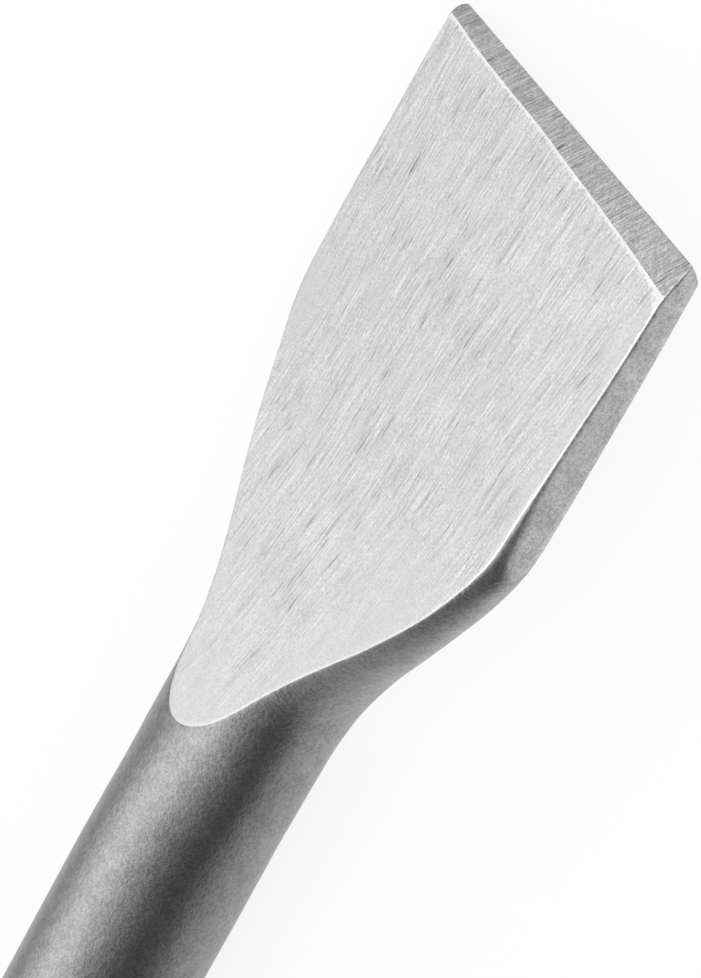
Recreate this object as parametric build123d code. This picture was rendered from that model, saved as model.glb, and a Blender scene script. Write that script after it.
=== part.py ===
from build123d import *
from math import asin, atan2, ceil, cos, degrees, hypot, pi, radians, sin, sqrt, tan
import os

# A wide flat chisel for a hammer drill, forged and ground from one steel bar.
# The bar's axis lies along X, the cutting edge is at the +X end, up is +Z.
# Sizes are in mm and degrees. "Back" is a distance measured from the cutting edge.

# Bar
overall_length = 250.0
shank_diameter = 14.0

# Drive end with two open grooves that turn the tool and two closed ones that hold it
drive_diameter = 10.0
drive_length = 40.0
shoulder_length = 3.5
end_chamfer = 1.2
turning_groove_width = 4.4
turning_groove_depth = 1.7
turning_groove_length = 31.0
locking_ball_diameter = 7.0
locking_groove_depth = 1.5
locking_groove_start = 8.5
locking_groove_length = 20.0

# Plan of the forging, before grinding
forged_width = 41.1
parallel_length = 21.0
shoulder_radius = 24.0
flare_angle = 30.0
neck_radius = 12.0
neck_width = 16.0
neck_length = 17.0

# Thickness of the forging, before grinding
forged_thickness = 14.0
neck_thickness = 12.4

# Ground faces
blade_width = 40.0
corner_radius = 1.8
edge_thickness = 2.0
face_taper = 1.6
flat_length = 27.0
run_out_radius = 105.0
face_skew = 0.4
bevel_angle = 29.0

# Lofting and cutting
section_spacing = 3.0
cutter_margin = 3.0

tip_x = overall_length / 2
shank_radius = shank_diameter / 2
drive_radius = drive_diameter / 2

# The round bar's seam runs halfway between two grooves of the drive end, where nothing crosses it
seam = (0, -1, 1)


# Where the parts of the flare begin, measured back from the cutting edge
def flare_stations():
    bend = radians(flare_angle)
    shoulder_drop = shoulder_radius * (1 - cos(bend))
    neck_rise = neck_radius * (1 - cos(bend))
    straight_drop = forged_width / 2 - neck_width / 2 - shoulder_drop - neck_rise
    line_start = parallel_length + shoulder_radius * sin(bend)
    line_end = line_start + straight_drop / tan(bend)
    neck = line_end + neck_radius * sin(bend)
    return line_start, line_end, neck


line_start, line_end, neck_back = flare_stations()
forging_back = neck_back + neck_length


def swell(share):
    """Eases from 0 to 1, level at both ends."""
    share = min(max(share, 0.0), 1.0)
    return (1 - cos(pi * share)) / 2


def half_width(back):
    """Half the forging's width: parallel, convex shoulder, straight flare, concave neck, bar."""
    widest = forged_width / 2
    if back <= parallel_length:
        return widest
    if back <= line_start:
        turned = (back - parallel_length) / shoulder_radius
        return widest - shoulder_radius * (1 - sqrt(1 - turned**2))
    narrow = neck_width / 2
    if back <= neck_back:
        turned = (neck_back - max(back, line_end)) / neck_radius
        rise = neck_radius * (1 - sqrt(1 - turned**2))
        return narrow + rise + max(line_end - back, 0) * tan(radians(flare_angle))
    share = (back - neck_back) / neck_length
    return narrow + (shank_radius - narrow) * swell(share)


def half_thickness(back):
    """Half the forging's thickness, pinched in at the neck."""
    pinched = neck_thickness / 2
    if back > neck_back:
        share = (back - neck_back) / neck_length
        return pinched + (shank_radius - pinched) * swell(share)
    share = (neck_back - back) / (neck_back - line_start)
    return pinched + (forged_thickness / 2 - pinched) * swell(share)


def cross_section(back):
    """The forging's oval section."""
    plane = Plane(origin=(tip_x - back, 0, 0), x_dir=(0, 1, 0), z_dir=(1, 0, 0))
    return plane * Ellipse(half_width(back), half_thickness(back))


# The forging: an oval loft that flattens and fans out from the round bar, then runs on parallel
def forging():
    curved = forging_back - parallel_length
    count = ceil(curved / section_spacing)
    fan = loft([cross_section(forging_back - curved * i / count) for i in range(count + 1)])
    return fan + extrude(cross_section(parallel_length), parallel_length + cutter_margin)


def bar():
    start = drive_length + shoulder_length
    length = overall_length - start - forging_back
    place = Plane(origin=(start - tip_x, 0, 0), x_dir=seam, z_dir=(1, 0, 0))
    return extrude(place * Circle(shank_radius), length)


# Grinding wheels' paths, as solids that take the waste away
def face_waste():
    """Above one face: flat with a slight taper, then rising out of the neck on a long arc."""
    half_edge = edge_thickness / 2
    slope = radians(face_taper)
    flat_end = (tip_x - flat_length, half_edge + flat_length * tan(slope))
    clear = forged_thickness / 2 + cutter_margin
    centre = (flat_end[0] + run_out_radius * sin(slope), flat_end[1] + run_out_radius * cos(slope))
    run = sqrt(run_out_radius**2 - (centre[1] - clear) ** 2)
    run_out = (centre[0] - run, clear)
    half_turn = (slope + asin(run / run_out_radius)) / 2
    middle_x = centre[0] - run_out_radius * sin(half_turn)
    middle = (middle_x, centre[1] - run_out_radius * cos(half_turn))
    front = (tip_x + cutter_margin, half_edge - cutter_margin * tan(slope))
    outline = Curve() + [
        Line(front, flat_end),
        ThreePointArc(flat_end, middle, run_out),
        Polyline(run_out, (front[0], clear), front),
    ]
    across = forged_width + 2 * cutter_margin
    waste = extrude(make_face(Plane.XZ * outline), across / 2, both=True)
    return Rot(-face_skew, 0, 0) * waste


def bevel_waste():
    """Beyond one bevel of the cutting edge."""
    reach = forged_thickness / 2
    depth = reach / tan(radians(bevel_angle))
    corners = [(tip_x, 0), (tip_x - depth, reach), (tip_x + cutter_margin, reach)]
    corners += [(tip_x + cutter_margin, 0)]
    outline = make_face(Plane.XZ * Polyline(*corners, close=True))
    return extrude(outline, forged_width / 2 + cutter_margin, both=True)


def plan_limit():
    """Ground sides and rounded corners of the blade, seen from above."""
    length = forging_back + cutter_margin
    block = Box(length, blade_width, forged_thickness + 2 * cutter_margin)
    block = Pos(tip_x - length / 2, 0, 0) * block
    corners = block.edges().filter_by(Axis.Z).group_by(Axis.X)[-1]
    return fillet(corners, corner_radius)


def blade():
    ground = forging() & plan_limit()
    for turn in (0, 180):
        ground -= Rot(turn, 0, 0) * face_waste()
        ground -= Rot(turn, 0, 0) * bevel_waste()
    return ground


# Drive end
def turning_groove():
    """Flat-bottomed groove, open at the end of the bar, with a rounded run-out."""
    floor = drive_radius - turning_groove_depth
    straight = turning_groove_length - turning_groove_width / 2
    place = Plane(origin=(-tip_x, 0, floor))
    square = Pos(straight / 2, 0) * Rectangle(straight, turning_groove_width)
    rounded = Pos(straight, 0) * Circle(turning_groove_width / 2)
    return extrude(place * (square + rounded), turning_groove_depth + cutter_margin)


def locking_groove():
    """Trough with round ends that the chuck's locking ball slides in."""
    ball = locking_ball_diameter / 2
    travel = locking_groove_length - 2 * ball
    first = locking_groove_start + ball - tip_x
    height = drive_radius - locking_groove_depth + ball
    place = Plane(origin=(first, 0, height), z_dir=(1, 0, 0))
    trough = extrude(place * Circle(ball), travel)
    return trough + Pos(first, 0, height) * Sphere(ball) + Pos(first + travel, 0, height) * Sphere(ball)


def drive_end():
    place = Plane(origin=(-tip_x, 0, 0), x_dir=seam, z_dir=(1, 0, 0))
    plug = extrude(place * Circle(drive_radius), drive_length)
    plug = chamfer(plug.edges().sort_by(Axis.X)[0], end_chamfer)
    base = place.offset(drive_length)
    shoulder = loft([base * Circle(drive_radius), base.offset(shoulder_length) * Circle(shank_radius)])
    plug += shoulder
    for turn in (0, 180):
        plug -= Rot(turn, 0, 0) * turning_groove()
        plug -= Rot(turn + 90, 0, 0) * locking_groove()
    return plug


def resting_roll(solid):
    """How far the chisel rolls on its round bar before one side of the blade meets the floor."""
    points = solid.tessellate(0.01, 0.1)[0]
    far_side = [p for p in points if p.Y > shank_radius]
    return min(asin(shank_radius / hypot(p.Y, p.Z)) - atan2(-p.Z, p.Y) for p in far_side)


whole = blade() + bar() + drive_end()
roll = degrees(resting_roll(whole))
chisel = Pos(0, 0, shank_radius) * Rot(-roll, 0, 0) * whole
chisel.label = "chisel"

os.makedirs("parts", exist_ok=True)
export_step(chisel, "parts/chisel.step")
print("roll at rest", round(roll, 2), "degrees, neck", round(neck_back, 2), "mm back from the edge")
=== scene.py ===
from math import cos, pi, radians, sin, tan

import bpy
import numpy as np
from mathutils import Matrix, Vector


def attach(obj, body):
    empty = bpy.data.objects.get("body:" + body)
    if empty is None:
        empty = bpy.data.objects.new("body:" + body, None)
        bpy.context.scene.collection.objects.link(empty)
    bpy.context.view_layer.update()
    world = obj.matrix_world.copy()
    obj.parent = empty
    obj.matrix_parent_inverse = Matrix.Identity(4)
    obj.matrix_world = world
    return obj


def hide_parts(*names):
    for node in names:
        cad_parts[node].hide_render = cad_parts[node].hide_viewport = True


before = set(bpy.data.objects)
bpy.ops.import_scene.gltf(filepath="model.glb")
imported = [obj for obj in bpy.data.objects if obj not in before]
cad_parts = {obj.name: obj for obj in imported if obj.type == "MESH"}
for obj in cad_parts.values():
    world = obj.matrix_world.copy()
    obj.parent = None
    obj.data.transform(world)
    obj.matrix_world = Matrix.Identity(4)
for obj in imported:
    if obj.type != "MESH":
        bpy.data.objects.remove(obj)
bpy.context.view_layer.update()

# %% [markdown]
# # A wide flat chisel for a hammer drill
#
# The real tool is one bar of steel. A smith's hammer has flattened one end into a fan, a grinding wheel has
# cut two wide faces and a bevelled edge into it, and grit blasting has left the rest dull and pebbly.
# This lesson builds it as one skin of points worked out with numpy, and dresses it in three steel finishes.
#
# Everything is measured in the tool's own frame first: X runs along the bar to the cutting edge, Y runs
# across the blade and Z points out of the front face. Lengths are in millimetres until the mesh is made.

MM = 0.001
TIP = 125.0                       # the cutting edge stands this far from the middle of the length
BAR = 7.0                         # radius of the round bar
ROLL = radians(15.49)             # the chisel leans over on its bar until one side of the blade touches


def smooth_step(x, low, high):
    """Rises from 0 at low to 1 at high along 3t^2 - 2t^3, level at both ends."""
    t = np.clip((x - low) / (high - low), 0.0, 1.0)
    return t * t * (3 - 2 * t)


def through(stations, values, at):
    """A smooth line through (station, value) pairs: a cubic between each two, whose slope at a station is the
    slope of the parabola through it and its neighbours. Outside the stations it stays level."""
    s, v = np.array(stations, float), np.array(values, float)
    step, rise = np.diff(s), np.diff(v) / np.diff(s)
    slope = np.zeros_like(s)
    slope[1:-1] = (rise[:-1] * step[1:] + rise[1:] * step[:-1]) / (step[1:] + step[:-1])
    x = np.clip(at, s[0], s[-1])
    i = np.clip(np.searchsorted(s, x, side="right") - 1, 0, len(s) - 2)
    h, t = step[i], (x - s[i]) / step[i]
    keep = (1 + 2 * t) * (1 - t) ** 2 * v[i] + t * t * (3 - 2 * t) * v[i + 1]
    return keep + h * (t * (1 - t) ** 2 * slope[i] - t * t * (1 - t) * slope[i + 1])


# %% [markdown]
# ## The forging
# The hammered blank has an oval section everywhere. Half its width and half its thickness change along the
# bar, so each is a line drawn through a few stations, as a smith's drawing would give them. "Back" is the
# distance from the cutting edge. The oval's exponent says how full its corners are: 2 is an ellipse.
# Nothing hammered by hand is even: on the side towards the camera, the near side, the flare stands steeper
# than on the far side, and its front and rear quarters are filled differently. So the near side has lines
# of its own.

# %% The blank's sections
def half_width(back, near):
    """Half the blank's width: parallel, shoulder, straight flare, concave neck, round bar. The steeper near
    side reaches less far out than the far side."""
    far_stations = (0, 22, 27, 30, 34, 38, 42, 46, 49, 52, 55, 58, 61, 65, 70)
    far = (20.76, 20.63, 19.79, 18.52, 16.71, 14.45, 12.0, 9.84, 8.44, 7.95, 7.9, 7.7, 7.32, 7.05, BAR)
    near_stations = (0, 22, 26, 30, 34, 38, 42, 44, 46, 48, 50, 52, 54, 58, 61, 65, 70)
    nearer = (20.76, 20.63, 20.03, 18.4, 16.35, 13.97, 11.25, 10.03, 8.95, 8.1, 7.65, 7.47, 7.37, 7.2, 7.07,
              BAR, BAR)
    return np.where(near, through(near_stations, nearer, back), through(far_stations, far, back))


def half_thickness(back):
    """Half the blank's thickness, pinched where the bar begins to flare."""
    return through((0, 34, 44, 54, 64, 72), (7.0, 7.0, 6.92, 6.15, 6.89, BAR), back)


def fullness(back, near, rear):
    """Exponent of the oval: one line for the far side, and one for each quarter of the near side."""
    far = through((20, 30, 38, 46, 54, 62, 70), (1.79, 1.96, 1.88, 1.69, 2.02, 1.95, 2.0), back)
    stations = (20, 26, 30, 34, 38, 42, 44, 46, 48, 50, 52, 54, 58, 62, 70)
    before = (1.79, 1.9, 2.05, 2.18, 2.15, 2.1, 2.05, 2.03, 2.02, 2.03, 2.07, 2.09, 2, 2, 2)
    front = through(stations, before, back)
    stations = (20, 24, 26, 30, 34, 38, 42, 44, 46, 48, 50, 52, 54, 58, 61, 66, 70)
    behind = (1.62, 1.71, 1.76, 1.85, 1.82, 1.84, 1.98, 2.1, 2.22, 2.32, 2.34, 2.36, 2.42, 2.28, 2.1, 2, 2)
    return np.where(near, np.where(rear, through(stations, behind, back), front), far)


def oval_size(x, y, z):
    """How many times the blank's own section at x the point's section is: (|y/a|^n + |z/b|^n)^(1/n)."""
    back = TIP - x
    a, b, n = half_width(back, y < 0), half_thickness(back), fullness(back, y < 0, z < 0)
    return (np.abs(y / a) ** n + np.abs(z / b) ** n + 1e-12) ** (1 / n)


def above_blank(x, y, z):
    """Distance out of the blank: what the section's size is over 1, divided by how fast that grows."""
    d = 1e-3
    size = oval_size(x, y, z)
    grow = [(oval_size(x + d, y, z) - size) / d, (oval_size(x, y + d, z) - size) / d,
            (oval_size(x, y, z + d) - size) / d]
    return (size - 1) / np.sqrt(sum(g * g for g in grow) + 1e-12)


# %% [markdown]
# ## What the wheel takes away
# Each wide face is nearly flat: it rises slightly from the edge and then runs out of the bar in a long
# hollow, which leaves the rounded end of the ground patch. The two sides are ground square, the corners of
# the edge are rounded, and two bevels meet in the cutting edge.

# %% Ground surfaces
SIDE = 20.09                      # half the ground width at the cutting edge
SIDE_SPREAD = 0.0057              # the ground sides part by this much per mm towards the edge
CORNER_NEAR, CORNER_FAR = 0.5, 0.9
KEEN = 0.06                       # the bevels are aimed this far past the edge, whose rounding takes it back
BEVEL_RISE = 0.79                 # height of the front bevel's ridge over the cutting edge
REAR_BEVEL = radians(48)


def face_height(back, y, sign=1):
    """Height of a ground face over the middle plane: a line through stations. The front face also leans
    across by an amount that changes along it, because it was ground by hand."""
    if sign < 0:
        stations = (0, 4, 10, 19, 24, 30, 40, 47, 51, 55, 58, 61, 66)
        heights = (1.52, 1.5, 1.41, 1.39, 1.5, 1.85, 2.87, 3.95, 5.0, 6.32, 7.53, 8.9, 11.5)
        return through(stations, heights, back)
    stations = (0, 4, 7, 10, 13, 16, 19, 23, 27, 31, 33, 37, 41, 45, 49, 51, 55, 58, 61, 66)
    heights = (0.72, 0.88, 0.985, 1.1, 1.26, 1.415, 1.55, 1.62, 1.73, 1.95, 2.12, 2.63, 3.13, 3.74, 4.5, 5.01,
               6.32, 7.53, 8.9, 11.5)
    lean = through((5, 10, 16, 20, 27, 33, 39, 45), (0, 0.003, 0.009, 0.013, 0.008, 0.008, 0.001, 0.0), back)
    return through(stations, heights, back) - lean * y


def bevel_slope(y):
    """Rise of the front bevel per mm back: one height over a width that changes along the edge. The wheel cut
    the bevel flatter and wider towards the near corner."""
    wide = through((-20, -15, -9, -3, 3, 9, 15, 20), (2.65, 2.42, 2.16, 1.97, 1.74, 1.7, 1.56, 1.3), y)
    return BEVEL_RISE / (wide + KEEN)


def bevel_height(back, y, sign):
    """Height of the front or rear bevel, straight up from the cutting edge."""
    return (back + KEEN) * (bevel_slope(y) if sign > 0 else tan(REAR_BEVEL))


def side_place(back):
    """Half the width between the two ground sides."""
    return SIDE - SIDE_SPREAD * back


def above_plan(x, y):
    """Distance outside the blade's outline seen from above, a box with rounded corners at the edge."""
    back = TIP - x
    r = np.where(y < 0, CORNER_NEAR, CORNER_FAR)
    over, ahead = np.abs(y) - side_place(back) + r, r - back
    return np.hypot(np.maximum(over, 0), np.maximum(ahead, 0)) + np.minimum(np.maximum(over, ahead), 0) - r


def distances(x, y, z):
    """Signed distances to the blank, the two faces, the two bevels and the outline, negative inside."""
    back = TIP - x
    slope = (face_height(back + 0.01, y) - face_height(back - 0.01, y)) / 0.02
    steep = np.sqrt(1 + slope ** 2)
    front = (z - face_height(back, y)) / steep
    rear = (-z - face_height(back, y, -1)) / steep
    upper = (z - bevel_height(back, y, 1)) / np.sqrt(1 + bevel_slope(y) ** 2)
    lower = (-z - bevel_height(back, y, -1)) * cos(REAR_BEVEL)
    return np.stack([above_blank(x, y, z), front, rear, upper, lower, above_plan(x, y)])


def ridge_radius(back):
    """Radius of a ridge's rounding: crisp at the cutting edge, softer on the blade, crisper at the neck."""
    return 0.09 + 0.12 * smooth_step(back, 0.2, 1.6) - 0.08 * smooth_step(back, 20, 36)


def rounded(x, y, z, radius):
    """One distance for the whole blade, with every ridge rounded: the length of the vector of all distances
    that lie within radius of their surface, less radius."""
    d = np.maximum(distances(x, y, z) + radius, 0)
    return np.sqrt((d * d).sum(0) + 1e-12) - radius


# %% [markdown]
# ## A skin that follows the ridges
# A ridge looks sharp only if a row of points runs along it. The ring of points round the bar is therefore
# made of four quarters, each shared out from the middle of a wide face over the ridge and down the forged
# strip to the middle of a narrow side. Where the ground patch ends, the points spread evenly round the bar.

# %% Sharing out the ring
FACE, STRIP, EDGE = 20, 14, 5     # points per quarter on the face, the forged strip and the narrow side
QUARTER = FACE + STRIP + EDGE
RING = 4 * QUARTER
LEAST_FACE, LEAST_SIDE, LEAST_STRIP = 1.2, 0.5, 0.12     # no part of a quarter gets narrower than this, in mm
QUARTERS = ((1, 1), (1, -1), (-1, -1), (-1, 1))      # side and face of each quarter, round the bar


def bevel_ridge(y, sign):
    """Where the bevel meets the face: the distance whose bevel height is the face's height there."""
    back = np.full_like(y, 1.9)
    for _ in range(12):
        back = face_height(back, y, sign) / bevel_height(1 - KEEN, y, sign) - KEEN
    return back


def ground_end(y, sign):
    """Where the face runs out of the blank's back, found by halving the interval again and again."""
    low, high = np.full_like(y, 48.0), np.full_like(y, 60.0)
    for _ in range(30):
        mid = (low + high) / 2
        a, b, n = half_width(mid, y < 0), half_thickness(mid), fullness(mid, y < 0, sign < 0)
        under = face_height(mid, y, sign) < b * (1 - np.abs(y / a) ** n) ** (1 / n)
        low, high = np.where(under, mid, low), np.where(under, high, mid)
    return low


def rows_and_columns(rows, first, last, side, sign):
    """Distance back of each point: straight rows, bent so that one follows the bevel's ridge and another the
    rounded end of the ground patch."""
    k = np.arange(QUARTER + 1)
    across = side * (1 - (1 - np.minimum(k / FACE, 1)) ** 2.2)
    share = np.minimum((QUARTER - k) / (QUARTER - FACE), 1.0)
    ridge = (bevel_ridge(across * (SIDE - 0.2), sign) - first) * share
    end = (ground_end(across * LEAST_FACE, sign) - last) * share
    near_ridge = np.where(rows < first, rows / first, 1 - smooth_step(rows, first + 0.5, 14))
    near_end = 1 - smooth_step(np.abs(rows - last), 0.8, 5)
    return rows[:, None] + near_ridge[:, None] * ridge + near_end[:, None] * end


def quarter(back, side, sign, spread):
    """Points of one quarter of every section. They lie on the lowest of face, bevel and oval as far as the
    ridge, follow the oval's own angle down the strip, and lie on the ground side or the oval at the end.
    Spread is 0 on the blade and 1 where the points stand at even angles round the bar."""
    k = np.arange(QUARTER + 1)[None, :]
    a, b, n = half_width(back, side < 0), half_thickness(back), fullness(back, side < 0, sign < 0)
    r = CORNER_NEAR if side < 0 else CORNER_FAR
    wide = side_place(back) - r + np.sqrt(r * r - np.clip(r - back, 0, r) ** 2)

    def bevel(y):
        """Height of the bevel, brought to nought at the edge itself."""
        return bevel_height(back, side * y, sign) * smooth_step(back, -0.01, 0.04)

    def over(y):
        """The lowest of face, oval and bevel over a place across."""
        top = b * np.clip(1 - (y / a) ** n, 0, 1) ** (1 / n)
        return np.minimum(np.minimum(face_height(back, side * y, sign), top), bevel(y))

    y = np.full_like(back, 10.0)
    for _ in range(14):
        h = np.clip(np.minimum(face_height(back, side * y, sign), bevel(y)) / b, 0, 1)
        y = np.minimum(a * (1 - h ** n) ** (1 / n), wide)
    y1 = np.maximum(np.minimum(y, wide - LEAST_STRIP), LEAST_FACE)
    z1 = over(y1)
    z2 = np.maximum(np.where(wide < a, b * np.clip(1 - (wide / a) ** n, 0, 1) ** (1 / n), 0), LEAST_SIDE)
    z2 = np.minimum(z2, z1 - np.minimum(LEAST_STRIP, z1 / 2))
    y2 = np.minimum(wide, a * (1 - (z2 / b) ** n) ** (1 / n))

    def polar(y, z):
        """Size on the oval, and the oval's own angle: atan of (z/b)^(n/2) over (y/a)^(n/2)."""
        size = ((y / a) ** n + (z / b) ** n) ** (1 / n)
        return size, np.arctan2((z / b) ** (n / 2), (y / a) ** (n / 2))

    on_face = y1 * (1 - (1 - np.minimum(k / FACE, 1)) ** 2.2)
    z3 = z2 * np.clip((QUARTER - k) / EDGE, 0, 1)
    face, strip_start, strip_end = polar(on_face, over(on_face)), polar(y1, z1), polar(y2, z2)
    edge = polar(np.minimum(wide, a * (1 - (z3 / b) ** n) ** (1 / n)), z3)
    t = smooth_step(k, FACE, FACE + STRIP)
    size, angle = (np.where(k < FACE, f, np.where(k < FACE + STRIP, (1 - t) * p + t * q, e))
                   for f, p, q, e in zip(face, strip_start, strip_end, edge))
    size = (1 - spread) * size + spread
    angle = (1 - spread) * angle + spread * (pi / 2) * (1 - k / QUARTER)
    y = side * size * a * np.cos(angle).clip(0) ** (2 / n)
    z = sign * size * b * np.sin(angle).clip(0) ** (2 / n)
    return y, z


def join_quarters(parts):
    """Lays the four quarters round the ring: every second one runs the other way, and shared ends go once."""
    a, b, c, d = parts
    ring = [a[:, :-1], b[:, ::-1][:, :-1], c[:, :-1], d[:, ::-1][:, :-1]]
    return np.concatenate(ring, axis=1)


# %% [markdown]
# ## Laying the points and pressing them on
# Rows stand close together where something happens: at the edge, at the bevel's ridge and at the rounded end
# of the ground patch. The quarters give every point a place on sharp-edged surfaces. Then each point is
# pressed onto the rounded blade: it moves along the slope of the rounded distance by as much as it misses,
# four times over.

# %% Points of the blade, the neck and the bar
FIRST = float(bevel_ridge(np.zeros(1), 1)[0])
LAST = float(ground_end(np.zeros(1), 1)[0])
lead = FIRST * (1 - np.cos(np.linspace(0, 1, 15) * pi / 2))
lead = lead[lead < FIRST - 0.35]
steps = np.array([0, 0.03, 0.07, 0.12, 0.19, 0.28])
behind = np.array([0.4, 0.6, 0.9, 1.3, 1.8])
rows = np.concatenate([
    lead, FIRST - steps[:0:-1], FIRST + steps, FIRST + behind,
    np.arange(FIRST + 2.5, 20, 0.8), np.arange(20, 47, 0.5), np.arange(47, LAST - 1.2, 0.3),
    LAST - np.array([1.05, 0.85, 0.65, 0.5, 0.38]), LAST - steps[:0:-1], LAST + steps,
    LAST + np.array([0.4, 0.55, 0.75, 1.0, 1.3, 1.6]), np.arange(LAST + 2, 74, 0.6),
    np.linspace(74, 2 * TIP - 43.5, 54),
])
FIRST_ROW, LAST_ROW = int(np.argmin(abs(rows - FIRST))), int(np.argmin(abs(rows - LAST)))
spread = smooth_step(rows, LAST + 1.0, LAST + 17.0)[:, None]

parts = [(rows_and_columns(rows, FIRST, LAST, side, sign), side, sign) for side, sign in QUARTERS]
placed = [quarter(back, side, sign, spread) for back, side, sign in parts]
X = TIP - join_quarters([p[0] for p in parts])
Y = join_quarters([p[0] for p in placed])
Z = join_quarters([p[1] for p in placed])

blade_rows = int((rows < 75).sum())
P = np.stack([X, Y, Z])[:, :blade_rows]
radius = ridge_radius(TIP - P[0])
for _ in range(4):
    here = rounded(*P, radius)
    slope = []
    for axis in range(3):
        nudge = np.zeros((3, 1, 1))
        nudge[axis] = 0.004
        slope.append((rounded(*(P + nudge), radius) - rounded(*(P - nudge), radius)) / 0.008)
    slope = np.stack(slope)
    P = P - here * slope / (slope ** 2).sum(0)
for grid, found in zip((X, Y, Z), P):
    grid[:, :] = np.concatenate([found, grid[blade_rows:]])
print("ring of", RING, "points,", len(rows), "rows; largest miss", float(abs(here).max()))

# %% [markdown]
# ## The drive end
# Behind a short cone the bar is 10 mm thick. Two flat-bottomed grooves open at the end turn the tool, and two
# closed troughs at its sides let the chuck's balls hold it. The same ring of points is bent into them: in
# each quarter turn, the middle points line the groove and the rest stay on the round.

# %% Points of the drive end
DRIVE, DRIVE_LENGTH, SHOULDER, CHAMFER = 5.0, 40.0, 3.5, 1.2
GROOVE_HALF, GROOVE_FLOOR, GROOVE_STRAIGHT = 2.2, 3.3, 28.8
BALL, BALL_CENTRE, BALL_FIRST, BALL_LAST = 3.5, 7.0, 12.0, 25.0
BALL_RUN = 2.872                  # a trough's round end reaches this far past the ball's last place
FLOOR_COLS, WALL_COLS = 8, 10


def turning_groove(m, d, R):
    """Across and outward place of column m: flat floor, upright wall, then the round at even angles. Past the
    rounded end of the groove the columns move apart again."""
    run = np.clip(d - GROOVE_STRAIGHT, 0, GROOVE_HALF)
    p = np.minimum(np.sqrt(GROOVE_HALF ** 2 - run ** 2), np.sqrt(R ** 2 - GROOVE_FLOOR ** 2))
    top = np.sqrt(R ** 2 - p ** 2)
    t = np.clip(np.abs(m) / FLOOR_COLS, 0, 1)
    lift = np.clip((np.abs(m) - FLOOR_COLS) / (WALL_COLS - FLOOR_COLS), 0, 1)
    return np.sign(m) * p * t, GROOVE_FLOOR + (top - GROOVE_FLOOR) * lift, np.arcsin(p / R), p > 1e-6


def locking_groove(m, d, R):
    """The same for a trough: a circle of the ball's section, met by the round bar."""
    off = np.maximum(np.maximum(BALL_FIRST - d, d - BALL_LAST), 0)
    rho = np.sqrt(np.maximum(BALL ** 2 - off ** 2, 0))
    cut = rho > BALL_CENTRE - R + 1e-9
    rho = np.maximum(rho, BALL_CENTRE - R + 1e-9)
    q = (R ** 2 - rho ** 2 + BALL_CENTRE ** 2) / (2 * BALL_CENTRE)
    p = np.sqrt(np.maximum(R ** 2 - q ** 2, 0))
    turn = np.arcsin(np.clip(p / rho, 0, 1)) * np.clip(m / WALL_COLS, -1, 1)
    return rho * np.sin(turn), BALL_CENTRE - rho * np.cos(turn), np.arcsin(p / R), cut


def drive_rows(d):
    """Y and Z of the ring's points at the distances d from the drive end's face."""
    d = d[:, None]
    R = DRIVE - np.clip(CHAMFER - d, 0, CHAMFER)
    R = R + (BAR - DRIVE) * np.clip((d - DRIVE_LENGTH) / SHOULDER, 0, 1)
    half = QUARTER // 2
    y, z = np.empty((len(d), RING)), np.empty((len(d), RING))
    grooves = (turning_groove, locking_groove, turning_groove, locking_groove)
    ends = (GROOVE_STRAIGHT + GROOVE_HALF, None, GROOVE_STRAIGHT + GROOVE_HALF, None)
    for number, (groove, end) in enumerate(zip(grooves, ends)):
        m = np.arange(-half, half + 1)[None, :]
        across, out, border, cut = groove(m, d, R)
        border = border * np.ones_like(across)
        if end is None:
            away = np.minimum(np.abs(d - BALL_FIRST + BALL_RUN), np.abs(d - BALL_LAST - BALL_RUN))
        else:
            away = np.abs(d - end)
        even = (WALL_COLS / (half + 0.5)) * pi / 4
        border = np.where(cut, border, even * smooth_step(away, 0, 5))
        inner = border * m / WALL_COLS
        outer = np.sign(m) * (border + (np.abs(m) - WALL_COLS) / (half + 0.5 - WALL_COLS) * (pi / 4 - border))
        angle = np.where(np.abs(m) > WALL_COLS, outer, inner)
        in_groove = cut & (np.abs(m) <= WALL_COLS)
        u = np.where(in_groove, across, R * np.sin(angle))
        w = np.where(in_groove, out, R * np.cos(angle))
        g = pi / 2 - number * pi / 2
        cols = (number * QUARTER + np.arange(-half, half + 1)) % RING
        y[:, cols] = w * cos(g) + u * sin(g)
        z[:, cols] = w * sin(g) - u * cos(g)
    return y, z


round_end = GROOVE_HALF * np.sin(np.linspace(0, 1, 9) * pi / 2)
ball_end = BALL_RUN * np.sin(np.linspace(0, 1, 7) * pi / 2)
d = np.unique(np.round(np.concatenate([
    [0, 0.4, 0.8, 1.2, 1.6], np.arange(2.2, 9, 0.9), BALL_FIRST - ball_end, np.arange(13, 25, 1.5),
    BALL_LAST + ball_end, GROOVE_STRAIGHT + round_end, [31.02, 31.15, 31.6, 32.4, 33.5, 35, 37, 39],
    [40, 40.7, 41.4, 42.1, 42.8],
]), 4))[::-1]
drive_y, drive_z = drive_rows(d)
X = np.concatenate([X, np.repeat((d - TIP)[:, None], RING, axis=1)])
Y, Z = np.concatenate([Y, drive_y]), np.concatenate([Z, drive_z])
print("drive end of", len(d), "rows")

# %% [markdown]
# ## Sewing the skin
# The first row is the cutting edge itself, where front and back share their points. Each cell between two
# rows and two columns becomes one face, and the drive end is closed with a flat cap. Every face is given
# the finish of the surface it lies on, and every point remembers how far the nearest ridge is.

# %% Faces and finishes
count = len(X)
column = np.arange(RING)
near = RING - FACE                 # the near ridge's column
edge_row = np.where(column <= FACE, column, FACE)
edge_row = np.where(column > 2 * QUARTER - FACE, 2 * QUARTER - column, edge_row)
edge_row = np.where(column > 2 * QUARTER + FACE, near, edge_row)
edge_row = np.where(column >= near, column, edge_row) % RING
index = np.arange(count * RING).reshape(count, RING)
index[0] = edge_row
beside = np.roll(index, -1, axis=1)
quads = np.stack([index[:-1], beside[:-1], beside[1:], index[1:]], axis=-1).reshape(-1, 4)

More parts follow.
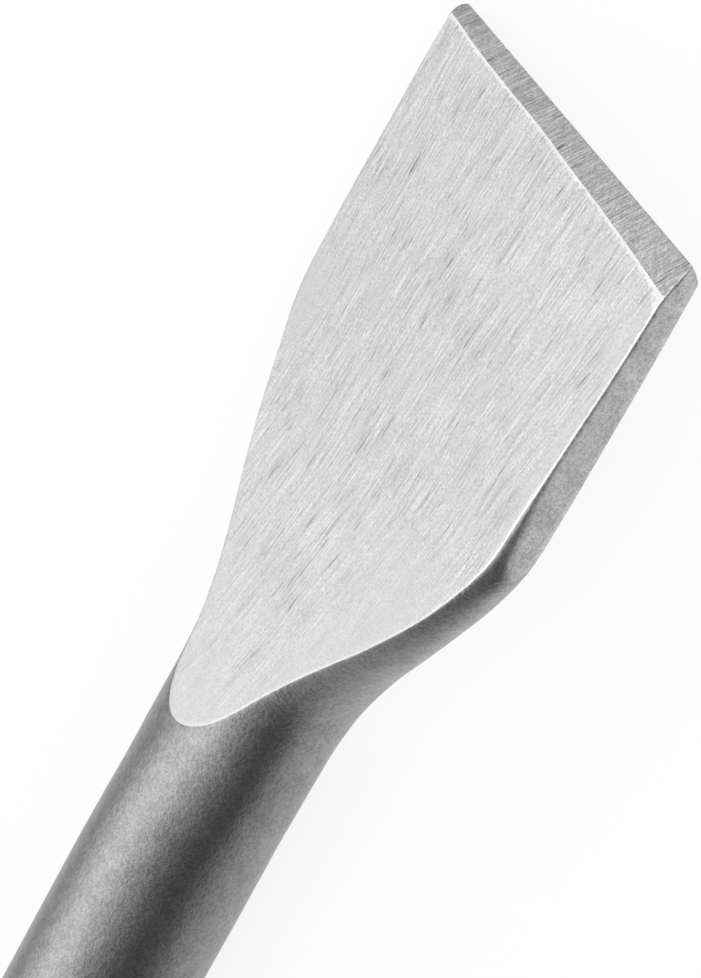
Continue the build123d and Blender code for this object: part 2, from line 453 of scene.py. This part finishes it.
cell_row = np.repeat(np.arange(count - 1), RING)
cell_column = np.tile(np.arange(RING), count - 1) % (2 * QUARTER)
on_face = np.minimum(cell_column, 2 * QUARTER - 1 - cell_column) < FACE
BLASTED, FACE_GROUND, BEVEL_GROUND = 0, 1, 2
finish = np.where(on_face & (cell_row < LAST_ROW), FACE_GROUND, BLASTED)
finish = np.where(on_face & (cell_row < FIRST_ROW), BEVEL_GROUND, finish)

pinched = quads[:, 0] == quads[:, 1]
cap = index[-1]
used, flat = np.unique(np.concatenate([quads.ravel(), cap]), return_inverse=True)
quads, cap = flat[:quads.size].reshape(-1, 4), flat[quads.size:]
faces = quads[~pinched].tolist() + quads[pinched][:, 1:].tolist() + [cap.tolist()]
finishes = np.concatenate([finish[~pinched], finish[pinched], [BLASTED]])


# %% How far every point is from the nearest ridge
def ridge_distance(x, y, z):
    """Along the surface to the nearest ridge: how deep the point lies under the second surface, divided by
    the sine of the angle between the two surfaces. Also how far the ground side lies over the blank there."""
    d = distances(x, y, z)
    step = 0.01
    slopes = np.stack([(distances(x + step, y, z) - distances(x - step, y, z)),
                       (distances(x, y + step, z) - distances(x, y - step, z)),
                       (distances(x, y, z + step) - distances(x, y, z - step))])
    slopes = slopes / np.sqrt((slopes ** 2).sum(0) + 1e-18)
    top = d.argmax(0)[None]
    own = np.take_along_axis(slopes, np.broadcast_to(top, (3,) + top.shape), 1)
    sine = np.sqrt(np.clip(1 - (slopes * own).sum(0) ** 2, 0.01, 1))
    along = (np.take_along_axis(d, top, 0) - d) / sine
    np.put_along_axis(along, top, 50.0, 0)
    return along.min(0), d[5] - d[0]


def polish_and_highlight_width(back, y):
    """Width of the bright rim along the ridges: partly edges that handling has polished, partly a painted
    highlight where the rounded ridge catches the light. It is widest at the near corner of the face, and
    fades on the far side and towards the neck."""
    corner = np.exp(-((back - 3.2) / 0.9) ** 2 - ((y + 19.7) / 0.9) ** 2)
    far = smooth_step(y, 1.0, 4.0) * smooth_step(back, 4.0, 7.0)
    return (0.30 - 0.28 * smooth_step(back, 10, 36) + 0.75 * corner) * (1 - 0.85 * far)


def grinding_lay(back, y):
    """A place counted along and across the grinding marks. They fan out a little towards the edge, about a
    line 15 mm off the middle, so the place across is the distance from that line times e^(back / 250)."""
    return np.stack([TIP - back, (y - 15) * np.exp(0.004 * back), np.zeros_like(y)], axis=-1)


def still_marked(back, y):
    """How much of the grinding shows. Blasting has wiped it away at the neck, at the far shoulder, next to
    the near flare and along the two long sides."""
    left = 1.1 - 1.1 * smooth_step(back, 34, 62)
    left = left * (1 - 0.8 * smooth_step(back, 26, 36) * smooth_step(-y, 2, 12))
    left = left * (1 - 0.9 * np.exp(-((back - 25.5) / 4.5) ** 2 - ((y - 19) / 3.5) ** 2))
    return left * (1 - 0.6 * smooth_step(-y, 17.5, 19.3))


to_ridge, side_over = np.full(X.shape, 50.0), np.full(X.shape, -50.0)
to_ridge[:blade_rows], side_over[:blade_rows] = ridge_distance(X[:blade_rows], Y[:blade_rows], Z[:blade_rows])
world = np.stack([X, Y * cos(ROLL) + Z * sin(ROLL), Z * cos(ROLL) - Y * sin(ROLL) + BAR], axis=-1) * MM

mesh = bpy.data.meshes.new("flat_chisel")
mesh.from_pydata(world.reshape(-1, 3)[used].tolist(), [], faces)
mesh.polygons.foreach_set("material_index", finishes.astype(np.int32))


def remember(name, values):
    """Keeps a number, or three, at every point of the mesh for the materials to read."""
    kind, slot = ("FLOAT", "value") if values.ndim == 2 else ("FLOAT_VECTOR", "vector")
    kept = values.reshape(X.size, -1)[used]
    mesh.attributes.new(name, kind, "POINT").data.foreach_set(slot, kept.ravel())


# Where the bright rim lies: partly polish from handling, partly a painted highlight along the ridges.
remember("polish_and_highlight", to_ridge / polish_and_highlight_width(TIP - X, Y))
remember("ground_side", smooth_step(side_over, -0.35, 0.1))
remember("lay", grinding_lay(TIP - X, Y))
remember("marked", still_marked(TIP - X, Y))
mesh.shade_smooth()
mesh.set_sharp_from_angle(angle=radians(38))
mesh.validate()
chisel = bpy.data.objects.new("flat_chisel", mesh)
bpy.context.scene.collection.objects.link(chisel)
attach(chisel, "root")
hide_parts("chisel")
print("points", len(mesh.vertices), "faces", len(mesh.polygons), "size",
      [round(v * 1000, 2) for v in chisel.dimensions])

# %% [markdown]
# ## Bare steel
# The whole chisel is one bare metal, so every finish is a metallic shader. What differs is how light the
# steel is, how it scatters and which small marks cover it. The marks are built once, as node groups that
# give a height for the bump and a tone that the steel's grey is multiplied by. Each finish mixes its own
# share of them.

# %% Small helpers for node trees
def node(tree, kind, values=None, **settings):
    """Adds a node, sets its plain settings and fills its sockets by name or number."""
    new = tree.nodes.new(kind)
    for name, value in settings.items():
        setattr(new, name, value)
    for name, value in (values or {}).items():
        if isinstance(value, bpy.types.NodeSocket):
            tree.links.new(value, new.inputs[name])
        else:
            new.inputs[name].default_value = value
    return new


def maths(tree, operation, a, b=0.5):
    """One sum or product of two values."""
    return node(tree, "ShaderNodeMath", {0: a, 1: b}, operation=operation).outputs[0]


def total(tree, *values):
    """Sum of several values."""
    whole = values[0]
    for value in values[1:]:
        whole = maths(tree, "ADD", whole, value)
    return whole


def stepped(tree, value, low, high, start=0.0, end=1.0):
    """Runs smoothly from start to end while value goes from low to high."""
    spans = {"Value": value, "From Min": low, "From Max": high, "To Min": start, "To Max": end}
    return node(tree, "ShaderNodeMapRange", spans, interpolation_type="SMOOTHSTEP").outputs[0]


def swing(tree, value, strength):
    """Noise made to swing about nought: (value - 0.5) times strength."""
    return maths(tree, "MULTIPLY", maths(tree, "SUBTRACT", value, 0.5), strength)


def noise(tree, place, per_mm, detail=2.0, rough=0.5):
    """Noise whose waves are per_mm to a millimetre, one number or one for each direction."""
    size = per_mm if isinstance(per_mm, tuple) else (per_mm,) * 3
    scaled = node(tree, "ShaderNodeVectorMath", {0: place, 1: size}, operation="MULTIPLY")
    values = {"Vector": scaled.outputs[0], "Scale": 1.0, "Detail": detail, "Roughness": rough}
    return node(tree, "ShaderNodeTexNoise", values).outputs[0]


def group(name, inputs):
    """A new node group that gives a height and a tone. Returns its tree, what goes in and what comes out."""
    tree = bpy.data.node_groups.new(name, "ShaderNodeTree")
    for title, kind in inputs.items():
        tree.interface.new_socket(title, in_out="INPUT", socket_type=kind)
    for title in ("Height", "Tone"):
        tree.interface.new_socket(title, in_out="OUTPUT", socket_type="NodeSocketFloat")
    return tree, tree.nodes.new("NodeGroupInput").outputs, tree.nodes.new("NodeGroupOutput").inputs


VECTOR, FLOAT = "NodeSocketVector", "NodeSocketFloat"

# %% [markdown]
# ## The blasted grain
# Grit has dented the forged surface all over: pits of about a third of a millimetre, finer dust between
# them, and cloudy patches where the jet stayed longer. Three noises of those sizes give it. The pits come
# through a smooth step, which leaves flat crowns between them, as on a real blasted surface.

# %% Blasted grain
blasting, given, result = group("Blasted grain", {"Place": VECTOR})
pits = stepped(blasting, noise(blasting, given["Place"], 2.8, 2.0, 0.6), 0.34, 0.64)
dust = noise(blasting, given["Place"], 7.5, 2.0)
cloud = noise(blasting, given["Place"], 0.8, 2.0)
relief = total(blasting, maths(blasting, "MULTIPLY", pits, 0.6), maths(blasting, "MULTIPLY", dust, 0.5))
tone = total(blasting, swing(blasting, pits, 0.22), swing(blasting, dust, 0.95), swing(blasting, cloud, 0.45),
             1.0)
blasting.links.new(relief, result["Height"])
blasting.links.new(tone, result["Tone"])
print("blasted grain:", len(blasting.nodes), "nodes")

# %% [markdown]
# ## The grinding marks
# A coarse belt has left long, fine, nearly parallel scratches. Noise that is stretched along the marks gives
# them: broad soft lines, fine lines, and a few short deep cuts that only the peaks of a third noise make.
# Bunches of darker lines show where the belt bit harder.

# %% Grinding marks
marking, given, result = group("Grinding marks", {"Lay": VECTOR, "Shown": FLOAT})
lay = given["Lay"]
broad = noise(marking, lay, (0.14, 2.6, 0.0), 2.0)
fine = noise(marking, lay, (0.22, 6.5, 0.0), 2.0, 0.6)
short = noise(marking, lay, (0.4, 4.8, 0.0), 1.0)
bunches = stepped(marking, noise(marking, lay, (0.16, 0.55, 0.0), 2.0), 0.46, 0.72)
bite = maths(marking, "ADD", short, maths(marking, "MULTIPLY", bunches, 0.11))
cuts = stepped(marking, bite, 0.66, 0.80)
lines = total(marking, swing(marking, broad, 0.34), swing(marking, fine, 1.0))
lines = total(marking, lines, maths(marking, "MULTIPLY", cuts, -0.5))
lines = total(marking, lines, maths(marking, "MULTIPLY", bunches, -0.05))
shown_lines = maths(marking, "MULTIPLY", lines, given["Shown"])
marking.links.new(shown_lines, result["Height"])
marking.links.new(maths(marking, "ADD", shown_lines, 1.0), result["Tone"])
print("grinding marks:", len(marking.nodes), "nodes")


# %% What the finishes are put together from
def attribute(tree, name, output="Fac"):
    """What the mesh remembers under this name at every point."""
    return node(tree, "ShaderNodeAttribute", attribute_name=name).outputs[output]


def use(tree, made, **values):
    """Places a node group in a tree, fills its inputs and gives back its outputs."""
    return node(tree, "ShaderNodeGroup", values, node_tree=made).outputs


def tool_place(tree):
    """Object coordinates turned back by the roll, in mm."""
    place = node(tree, "ShaderNodeTexCoord").outputs["Object"]
    return node(tree, "ShaderNodeMapping", {"Vector": place, "Rotation": (ROLL, 0, 0),
                                            "Scale": (1000, 1000, 1000)}).outputs[0]


def new_finish(name):
    """A new material of the chisel, empty."""
    material = bpy.data.materials.new(name)
    material.use_nodes = True
    material.node_tree.nodes.clear()
    mesh.materials.append(material)
    return material.node_tree


def metal(tree, grey, roughness, height, depth):
    """Bare steel: a metallic shader of this grey, whose bump is depth mm high for a height of 1."""
    colour = node(tree, "ShaderNodeCombineColor", {0: grey, 1: grey, 2: grey})
    bump = node(tree, "ShaderNodeBump", {"Height": height, "Strength": 1.0, "Distance": depth * MM})
    shader = node(tree, "ShaderNodeBsdfPrincipled", {"Base Color": colour.outputs[0], "Metallic": 1.0,
                                                     "Roughness": roughness, "Normal": bump.outputs[0]})
    node(tree, "ShaderNodeOutputMaterial", {"Surface": shader.outputs[0]})


# %% [markdown]
# ## Blasted steel
# The forged surface is dark and dull. The two long sides of the blade were ground before the blasting, so the
# same grain lies on a lighter steel there. The mesh remembers where those sides are.

# %% Blasted steel
FORGED_GREY, SIDE_GREY = 0.35, 0.56
tree = new_finish("blasted_steel")
grain = use(tree, blasting, Place=tool_place(tree))
side = attribute(tree, "ground_side")
level = stepped(tree, side, 0.0, 1.0, FORGED_GREY, SIDE_GREY)
metal(tree, maths(tree, "MULTIPLY", grain["Tone"], level), stepped(tree, side, 0.0, 1.0, 0.4, 0.5),
      grain["Height"], 0.018)

# %% [markdown]
# ## The ground face
# The brightest steel. The marks show in patches, with soft darker stains among them. A fine sandy grain lies
# over everything, stronger where the marks are strong. The ridges carry a bright rim: partly edges that
# handling has polished, partly a painted highlight where the rounded ridges catch the light. The rim's border
# wavers, because a noise is added to the distance from the ridge before it is turned into a mask.

# %% The ground face
# The rim's grey is partly polish and partly a painted highlight on the ridges.
FACE_GREY, POLISH_AND_HIGHLIGHT_GREY = 0.782, 0.98
tree = new_finish("ground_face")
lay, marked = attribute(tree, "lay", "Vector"), attribute(tree, "marked")
patches = stepped(tree, noise(tree, lay, (0.2, 0.35, 0.0)), 0.3, 0.55, 0.5, 1.0)
marks = use(tree, marking, Lay=lay, Shown=maths(tree, "MULTIPLY", marked, patches))
stains = stepped(tree, noise(tree, lay, (0.18, 0.5, 0.0), 3.0, 0.6), 0.56, 0.72)
stains = maths(tree, "MULTIPLY", maths(tree, "MULTIPLY", stains, marked), -0.10)
marks_tone = maths(tree, "ADD", marks["Tone"], stains)

grain = use(tree, blasting, Place=tool_place(tree))
sandy = stepped(tree, marked, 0.0, 1.1, 0.3, 0.75)
sand = swing(tree, noise(tree, tool_place(tree), 5.5), sandy)
soft_grain = total(tree, maths(tree, "MULTIPLY", grain["Tone"], 0.16), sand, 0.84)
steel_grey = maths(tree, "MULTIPLY", maths(tree, "MULTIPLY", marks_tone, soft_grain), FACE_GREY)

# The rim brightens the colour along the ridges: partly polish from handling, partly a painted highlight.
# Noise makes its border waver and its strength patchy.
wobble = swing(tree, noise(tree, tool_place(tree), 2.0, 3.0, 0.6), 3.4)
polish_and_highlight = stepped(tree, maths(tree, "ADD", attribute(tree, "polish_and_highlight"), wobble), 1.2, 0.65)
patchiness = stepped(tree, noise(tree, tool_place(tree), 0.35), 0.36, 0.62, 0.7, 1.0)
polish_and_highlight = maths(tree, "MULTIPLY", polish_and_highlight, patchiness)
polish_and_highlight_grey = maths(tree, "MULTIPLY", polish_and_highlight, maths(tree, "SUBTRACT", POLISH_AND_HIGHLIGHT_GREY, steel_grey))
height = total(tree, marks["Height"], maths(tree, "MULTIPLY", grain["Height"], 0.6))
metal(tree, maths(tree, "ADD", steel_grey, polish_and_highlight_grey), 0.55, height, 0.012)

# %% [markdown]
# ## The ground bevel
# A finer wheel, held across: the same marks, turned by 27.6 degrees, on a darker steel.

# %% The ground bevel
BEVEL_GREY, BEVEL_MARKS, ACROSS = 0.54, 1.35, radians(27.6)
tree = new_finish("ground_bevel")
laid = node(tree, "ShaderNodeMapping", {"Vector": tool_place(tree), "Rotation": (0, 0, ACROSS)})
marks = use(tree, marking, Lay=laid.outputs[0], Shown=BEVEL_MARKS)
grain = use(tree, blasting, Place=tool_place(tree))
height = total(tree, marks["Height"], maths(tree, "MULTIPLY", grain["Height"], 0.8))
tone = maths(tree, "MULTIPLY", marks["Tone"], grain["Tone"])
metal(tree, maths(tree, "MULTIPLY", tone, BEVEL_GREY), 0.42, height, 0.018)
print("finishes:", [m.name for m in mesh.materials])

# %% [markdown]
# ## The studio
# The chisel lies on a white table. The camera looks down on it from beyond the tip. Its place and its two
# directions come from measuring how the blade, the flare and the bar narrow with distance in the picture.

# %% Camera
camera = bpy.data.objects.new("camera", bpy.data.cameras.new("camera"))
bpy.context.scene.collection.objects.link(camera)
look, right = Vector((-0.37092, 0.58605, -0.72039)), Vector((0.44717, -0.56716, -0.69164))
up = right.cross(look)
turned = Matrix((right, up, -look)).transposed().to_4x4()
camera.matrix_world = Matrix.Translation(Vector((201.75, -171.91, 220.62)) * MM) @ turned
camera.data.lens = 145.677
camera.data.sensor_width = 36.0
camera.data.sensor_fit = "AUTO"
camera.data.clip_start = 0.01
bpy.context.scene.camera = camera


# %% [markdown]
# ## A white table that keeps a shadow
# Product pictures are taken on paper that is lit to pure white. Here the table is matte and gets its light
# from the white sky around it. For the rays that look straight at it, most of it glows instead, so it comes
# out white, and the rest still shows the soft shadow under the bar.

# %% Table and white surroundings
def seen_rays(tree):
    """1 for the rays that show a surface itself: camera, glossy and transmission rays."""
    ray = node(tree, "ShaderNodeLightPath")
    sharp = node(tree, "ShaderNodeMath", {0: ray.outputs["Is Camera Ray"], 1: ray.outputs["Is Glossy Ray"]},
                 operation="MAXIMUM")
    return node(tree, "ShaderNodeMath", {0: sharp.outputs[0], 1: ray.outputs["Is Transmission Ray"]},
                operation="MAXIMUM").outputs[0]


def staged(name, points, faces):
    """A piece of the studio, not of the chisel."""
    sheet = bpy.data.meshes.new(name)
    sheet.from_pydata(points, [], faces)
    thing = bpy.data.objects.new(name, sheet)
    bpy.context.scene.collection.objects.link(thing)
    material = bpy.data.materials.new(name)
    material.use_nodes = True
    material.node_tree.nodes.clear()
    sheet.materials.append(material)
    return thing, material.node_tree


PAPER_GLOW = 0.86                 # share of the table that glows for the rays that see it
SKY_LIGHT, SKY_SEEN = 1.25, 1.0   # the sky's strength as light, and where it is seen
_, tree = staged("white_table", [(-8, -8, 0), (8, -8, 0), (8, 8, 0), (-8, 8, 0)], [(0, 1, 2, 3)])
share = node(tree, "ShaderNodeMath", {0: seen_rays(tree), 1: PAPER_GLOW}, operation="MULTIPLY")
matte = node(tree, "ShaderNodeBsdfDiffuse", {"Color": (0.8, 0.8, 0.8, 1)})
glow = node(tree, "ShaderNodeEmission", {"Color": (1, 1, 1, 1), "Strength": 1.0})
mix = node(tree, "ShaderNodeMixShader", {0: share.outputs[0], 1: matte.outputs[0], 2: glow.outputs[0]})
node(tree, "ShaderNodeOutputMaterial", {"Surface": mix.outputs[0]})

world = bpy.data.worlds.new("studio")
bpy.context.scene.world = world
world.use_nodes = True
tree = world.node_tree
tree.nodes.clear()
level = node(tree, "ShaderNodeMapRange", {"Value": seen_rays(tree), "To Min": SKY_LIGHT, "To Max": SKY_SEEN})
sky = node(tree, "ShaderNodeBackground", {"Color": (1, 1, 1, 1), "Strength": level.outputs[0]})
node(tree, "ShaderNodeOutputWorld", {"Surface": sky.outputs[0]})

# %% [markdown]
# ## The light tent
# Bare steel shows what stands around it. Here that is half a tube of cloth along the chisel, seen only in
# reflections: it is bright above the far side, and a black flag hangs low at the near side, which draws the
# dark band along the bar. The flag ends before the blade. The cloth's foot lies on the table beside the bar
# and darkens away from it. The cloth's tone is kept at its points and mixes smoothly between them.

# %% Light tent
TENT_RADIUS, TENT_END, TENT_END_TONE = 0.9, 5.0, 0.85
turn = np.linspace(-90, 90, 73)                      # degrees from straight up towards the near side
stations = (-90, -82, -67, -52, -37, -22, -7, 7, 22, 37, 52, 90)
cloth = (0.1, 0.18, 0.66, 1.19, 1.73, 1.78, 1.3, 0.7, 0.42)
flagged = np.clip(through(stations, cloth + (0.18, 0.05, 0.05), turn), 0, None)
unflagged = np.clip(through(stations, cloth + (0.26, 0.2, 0.25), turn), 0, None)
foot = np.array([0.5, 0.2, 0.1, 0.063, 0.035, 0.024, 0.013, 0.007, 0.003])      # metres from the bar's line
foot_tone = np.array([0.12, 0.15, 0.25, 0.36, 0.46, 0.55, 0.72, 0.85, 0.95])
pale = np.ones_like(foot)
rings = (
    (-TENT_END, np.full_like(turn, TENT_END_TONE), foot_tone),
    (-1.2, flagged, foot_tone), (-0.22, flagged, foot_tone),
    (-0.1, unflagged, foot_tone), (0.058, unflagged, foot_tone), (0.080, unflagged, pale),
    (1.2, unflagged, pale), (TENT_END, np.full_like(turn, TENT_END_TONE), pale),
)
arc = np.radians(turn)
out_y = np.concatenate([-TENT_RADIUS * np.sin(arc), -foot])
up_z = np.concatenate([TENT_RADIUS * np.cos(arc), np.full_like(foot, 0.0003)])
ring = [np.stack([np.full_like(out_y, x), out_y, up_z], 1) for x, above, below in rings]
tones = [np.concatenate([above, below]) for x, above, below in rings]
n = len(out_y)
first = [r * n + i for r in range(len(rings) - 1) for i in range(n - 1)]
walls = [(i, i + 1, i + n + 1, i + n) for i in first]
tent, tree = staged("light_tent", np.concatenate(ring).tolist(), walls)
tent.data.attributes.new("tone", "FLOAT", "POINT").data.foreach_set("value", np.concatenate(tones))
lit = node(tree, "ShaderNodeAttribute", attribute_name="tone")
glow = node(tree, "ShaderNodeEmission", {"Color": (1, 1, 1, 1), "Strength": lit.outputs["Fac"]})
node(tree, "ShaderNodeOutputMaterial", {"Surface": glow.outputs[0]})
tent.visible_camera = tent.visible_diffuse = tent.visible_shadow = False
tent.visible_transmission = tent.visible_volume_scatter = False
print("light tent of", len(rings), "rings")

bpy.context.scene.view_settings.view_transform = "Standard"
